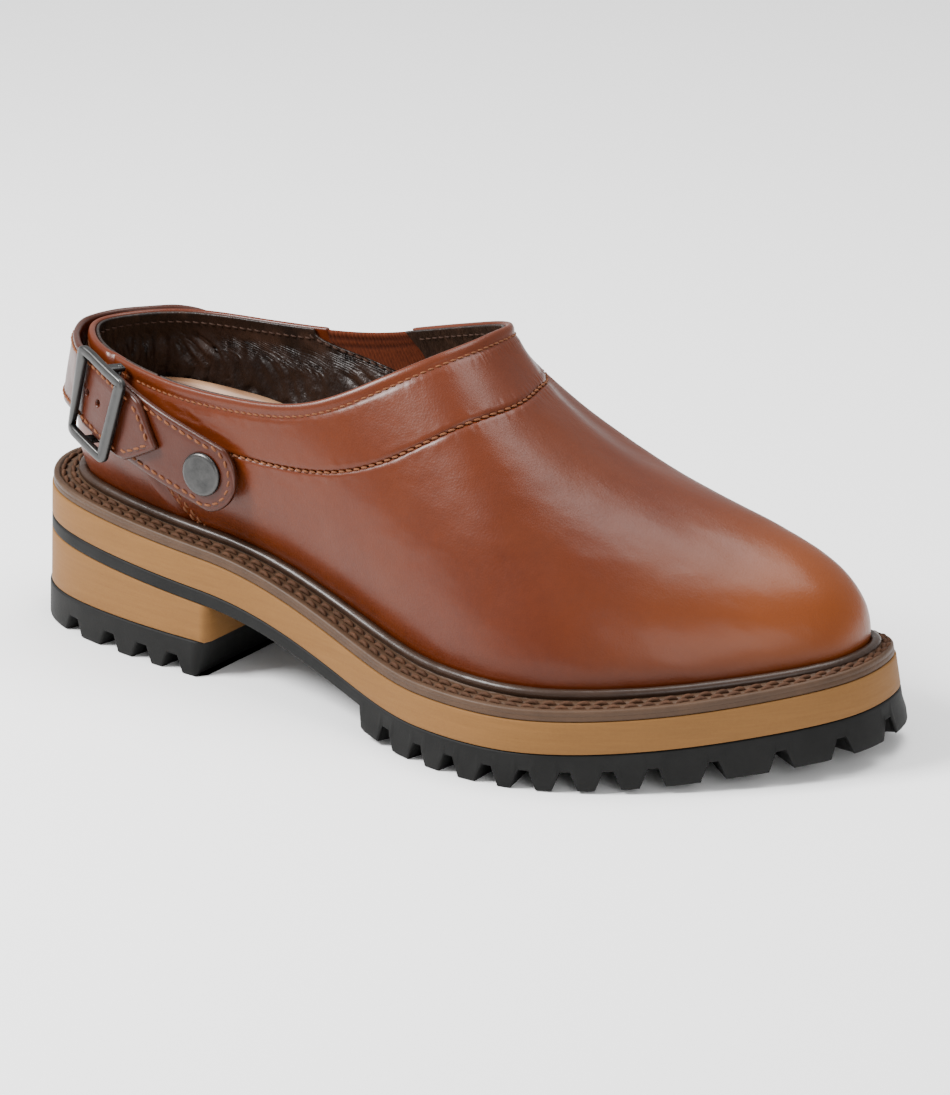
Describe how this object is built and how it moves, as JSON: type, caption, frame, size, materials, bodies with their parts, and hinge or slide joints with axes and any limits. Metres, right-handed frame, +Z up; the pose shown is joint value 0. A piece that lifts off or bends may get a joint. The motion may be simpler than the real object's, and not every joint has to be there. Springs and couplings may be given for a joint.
{
  "type": "leather platform clog",
  "caption": "Right-foot closed-toe leather clog on a stacked platform sole and block heel, with a heel strap that swivels on two rivets and threads through a frame buckle.",
  "frame": {"origin": "middle of the footprint, on the ground plane that the heel and forefoot lugs stand on", "axes": "+X to the toe, +Y to the inner (medial) side of the foot, +Z up"},
  "size_m": [0.286, 0.1148, 0.1124],
  "materials": {
    "upper_leather": "smooth burnished, satin",
    "lining_leather": "soft pigskin, matt",
    "stiffener_board": "matt",
    "elastic_web": "ribbed, matt",
    "cork": "matt",
    "footbed_cover": "matt",
    "insole_fibre": "matt",
    "stacked_midsole": "grained, satin",
    "welt_leather": "waxed",
    "rib_leather": "waxed, glossy",
    "rubber": "matt",
    "antique_pewter": "antique, satin",
    "steel": "plain"
  },
  "bodies": {
    "shoe": {"heel_top_lift": "rubber", "heel_block": "stacked_midsole", "outsole": "rubber", "midsole": "stacked_midsole", "welt": "welt_leather", "welt_rib": "rib_leather", "shank": "steel", "bottom_filler": "cork", "insole_board": "insole_fibre", "heel_nail_1": "steel", "heel_nail_2": "steel", "heel_nail_3": "steel", "heel_nail_4": "steel", "footbed": "cork", "footbed_cover": "footbed_cover", "vamp": "upper_leather", "collar_band": "upper_leather", "heel_quarter": "upper_leather", "elastic_gore": "elastic_web", "vamp_lining": "lining_leather", "quarter_lining": "lining_leather", "heel_counter": "stiffener_board", "toe_puff": "stiffener_board", "rivet_outer": "antique_pewter", "rivet_inner": "antique_pewter", "rivet_burr_outer": "steel", "rivet_burr_inner": "steel"},
    "strap": {"strap_tab": "upper_leather", "heel_strap": "upper_leather"},
    "buckle": {"buckle_frame": "antique_pewter", "buckle_bar": "antique_pewter"}
  },
  "joints": [
    {"name": "heel_strap_swing", "type": "hinge", "parent": "shoe", "child": "strap", "pos_m": [-0.06063, 0, 0.0652], "axis": [0, 1, 0], "range_deg": [-12, 70]},
    {"name": "buckle_tilt", "type": "hinge", "parent": "strap", "child": "buckle", "pos_m": [-0.10104, -0.02609, 0.07773], "axis": [0.2961, 0, 0.9552], "range_deg": [-3, 3]}
  ]
}
